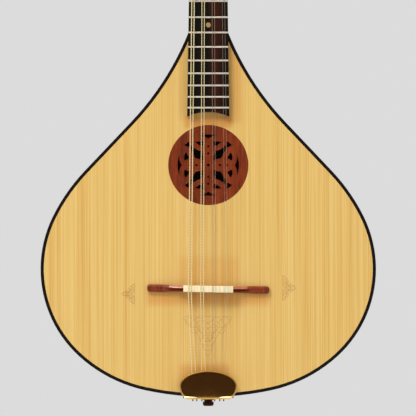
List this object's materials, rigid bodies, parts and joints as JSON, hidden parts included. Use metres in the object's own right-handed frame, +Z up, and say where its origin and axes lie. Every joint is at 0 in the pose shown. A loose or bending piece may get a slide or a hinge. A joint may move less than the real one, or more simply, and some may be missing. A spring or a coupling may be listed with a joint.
{
  "type": "bouzouki",
  "caption": "Flat-backed teardrop bouzouki with a pierced rose, floating bridge, clamshell tailpiece, fretted neck and geared tuners that turn their string posts.",
  "frame": {"origin": "on the end pin's axis, where the pin meets the tail", "axes": "+Z up the neck, -Y out of the soundboard, +X to the side of the thin strings"},
  "size_m": [0.3598, 0.0987, 0.9461],
  "materials": {
    "spruce": "oiled",
    "carved_rosewood": "oiled",
    "mahogany": "gloss lacquer",
    "neck_mahogany": "satin",
    "inner_spruce": "bare",
    "ebony": "oiled",
    "black_binding": "gloss",
    "bone": "polished",
    "horn_dots": "polished",
    "fret_wire": "polished",
    "gold_plate": "polished",
    "brass": "polished",
    "bronze_wound": "wound",
    "plain_steel": "bright",
    "rod_steel": "plain",
    "button_plastic": "polished"
  },
  "bodies": {
    "body": {"soundboard": "spruce", "rose": "carved_rosewood", "back_plate": "mahogany", "side_bass": "mahogany", "side_treble": "mahogany", "top_linings": "inner_spruce", "back_linings": "inner_spruce", "neck_block": "inner_spruce", "tail_block": "inner_spruce", "top_braces": "inner_spruce", "back_braces": "inner_spruce", "top_binding": "black_binding", "back_binding": "black_binding", "bridge": "carved_rosewood", "saddle": "bone", "tailpiece_base": "gold_plate", "tailpiece_screws": "gold_plate", "tailpiece_hinge_pins": "gold_plate", "end_pin": "carved_rosewood", "neck": "neck_mahogany", "head_veneer": "ebony", "fretboard": "ebony", "frets": "fret_wire", "position_dots": "horn_dots", "nut": "bone", "truss_rod": "rod_steel", "truss_rod_cover": "ebony", "truss_cover_screws": "gold_plate", "tuner_plate_bass": "gold_plate", "tuner_plate_treble": "gold_plate", "tuner_plate_screws": "gold_plate", "tuner_bushings": "gold_plate", "wound_strings": "bronze_wound", "plain_strings": "plain_steel"},
    "cover": {"tailpiece_cover": "gold_plate"},
    "rod_nut": {"truss_rod_nut": "brass"},
    "post_1": {"tuner_post_1": "gold_plate"},
    "key_1": {"worm_shaft_1": "gold_plate", "button_1": "button_plastic"},
    "post_2": {"tuner_post_2": "gold_plate"},
    "key_2": {"worm_shaft_2": "gold_plate", "button_2": "button_plastic"},
    "post_3": {"tuner_post_3": "gold_plate"},
    "key_3": {"worm_shaft_3": "gold_plate", "button_3": "button_plastic"},
    "post_4": {"tuner_post_4": "gold_plate"},
    "key_4": {"worm_shaft_4": "gold_plate", "button_4": "button_plastic"},
    "post_5": {"tuner_post_5": "gold_plate"},
    "key_5": {"worm_shaft_5": "gold_plate", "button_5": "button_plastic"},
    "post_6": {"tuner_post_6": "gold_plate"},
    "key_6": {"worm_shaft_6": "gold_plate", "button_6": "button_plastic"},
    "post_7": {"tuner_post_7": "gold_plate"},
    "key_7": {"worm_shaft_7": "gold_plate", "button_7": "button_plastic"},
    "post_8": {"tuner_post_8": "gold_plate"},
    "key_8": {"worm_shaft_8": "gold_plate", "button_8": "button_plastic"}
  },
  "joints": [
    {"name": "tailpiece_cover_hinge", "type": "hinge", "parent": "body", "child": "cover", "pos_m": [0, -0.0459, 0.0005], "axis": [1, 0, 0], "range_deg": [0, 95]},
    {"name": "truss_rod_nut_turn", "type": "hinge", "parent": "body", "child": "rod_nut", "pos_m": [0, -0.035, 0.7853], "axis": [0, 0, 1], "range_deg": [-180, 180]},
    {"name": "key_turn_1", "type": "hinge", "parent": "body", "child": "key_1", "pos_m": [-0.041, -0.01093, 0.82289], "axis": [-1, 0, 0], "continuous": true},
    {"name": "post_turn_1", "type": "hinge", "parent": "body", "child": "post_1", "pos_m": [-0.02, -0.03161, 0.81846], "axis": [0, -0.9703, 0.2419], "continuous": true},
    {"name": "key_turn_2", "type": "hinge", "parent": "body", "child": "key_2", "pos_m": [-0.041, -0.00488, 0.84715], "axis": [-1, 0, 0], "continuous": true},
    {"name": "post_turn_2", "type": "hinge", "parent": "body", "child": "post_2", "pos_m": [-0.02, -0.02557, 0.84272], "axis": [0, -0.9703, 0.2419], "continuous": true},
    {"name": "key_turn_3", "type": "hinge", "parent": "body", "child": "key_3", "pos_m": [-0.041, 0.00117, 0.8714], "axis": [-1, 0, 0], "continuous": true},
    {"name": "post_turn_3", "type": "hinge", "parent": "body", "child": "post_3", "pos_m": [-0.02, -0.01952, 0.86698], "axis": [0, -0.9703, 0.2419], "continuous": true},
    {"name": "key_turn_4", "type": "hinge", "parent": "body", "child": "key_4", "pos_m": [-0.041, 0.00722, 0.89566], "axis": [-1, 0, 0], "continuous": true},
    {"name": "post_turn_4", "type": "hinge", "parent": "body", "child": "post_4", "pos_m": [-0.02, -0.01347, 0.89123], "axis": [0, -0.9703, 0.2419], "continuous": true},
    {"name": "key_turn_5", "type": "hinge", "parent": "body", "child": "key_5", "pos_m": [0.041, -0.01093, 0.82289], "axis": [1, 0, 0], "continuous": true},
    {"name": "post_turn_5", "type": "hinge", "parent": "body", "child": "post_5", "pos_m": [0.02, -0.03161, 0.81846], "axis": [0, -0.9703, 0.2419], "continuous": true},
    {"name": "key_turn_6", "type": "hinge", "parent": "body", "child": "key_6", "pos_m": [0.041, -0.00488, 0.84715], "axis": [1, 0, 0], "continuous": true},
    {"name": "post_turn_6", "type": "hinge", "parent": "body", "child": "post_6", "pos_m": [0.02, -0.02557, 0.84272], "axis": [0, -0.9703, 0.2419], "continuous": true},
    {"name": "key_turn_7", "type": "hinge", "parent": "body", "child": "key_7", "pos_m": [0.041, 0.00117, 0.8714], "axis": [1, 0, 0], "continuous": true},
    {"name": "post_turn_7", "type": "hinge", "parent": "body", "child": "post_7", "pos_m": [0.02, -0.01952, 0.86698], "axis": [0, -0.9703, 0.2419], "continuous": true},
    {"name": "key_turn_8", "type": "hinge", "parent": "body", "child": "key_8", "pos_m": [0.041, 0.00722, 0.89566], "axis": [1, 0, 0], "continuous": true},
    {"name": "post_turn_8", "type": "hinge", "parent": "body", "child": "post_8", "pos_m": [0.02, -0.01347, 0.89123], "axis": [0, -0.9703, 0.2419], "continuous": true}
  ],
  "couplings": [
    {"joint": "post_turn_1", "follows": "key_turn_1", "ratio": 0.071429},
    {"joint": "post_turn_2", "follows": "key_turn_2", "ratio": 0.071429},
    {"joint": "post_turn_3", "follows": "key_turn_3", "ratio": 0.071429},
    {"joint": "post_turn_4", "follows": "key_turn_4", "ratio": 0.071429},
    {"joint": "post_turn_5", "follows": "key_turn_5", "ratio": 0.071429},
    {"joint": "post_turn_6", "follows": "key_turn_6", "ratio": 0.071429},
    {"joint": "post_turn_7", "follows": "key_turn_7", "ratio": 0.071429},
    {"joint": "post_turn_8", "follows": "key_turn_8", "ratio": 0.071429}
  ]
}
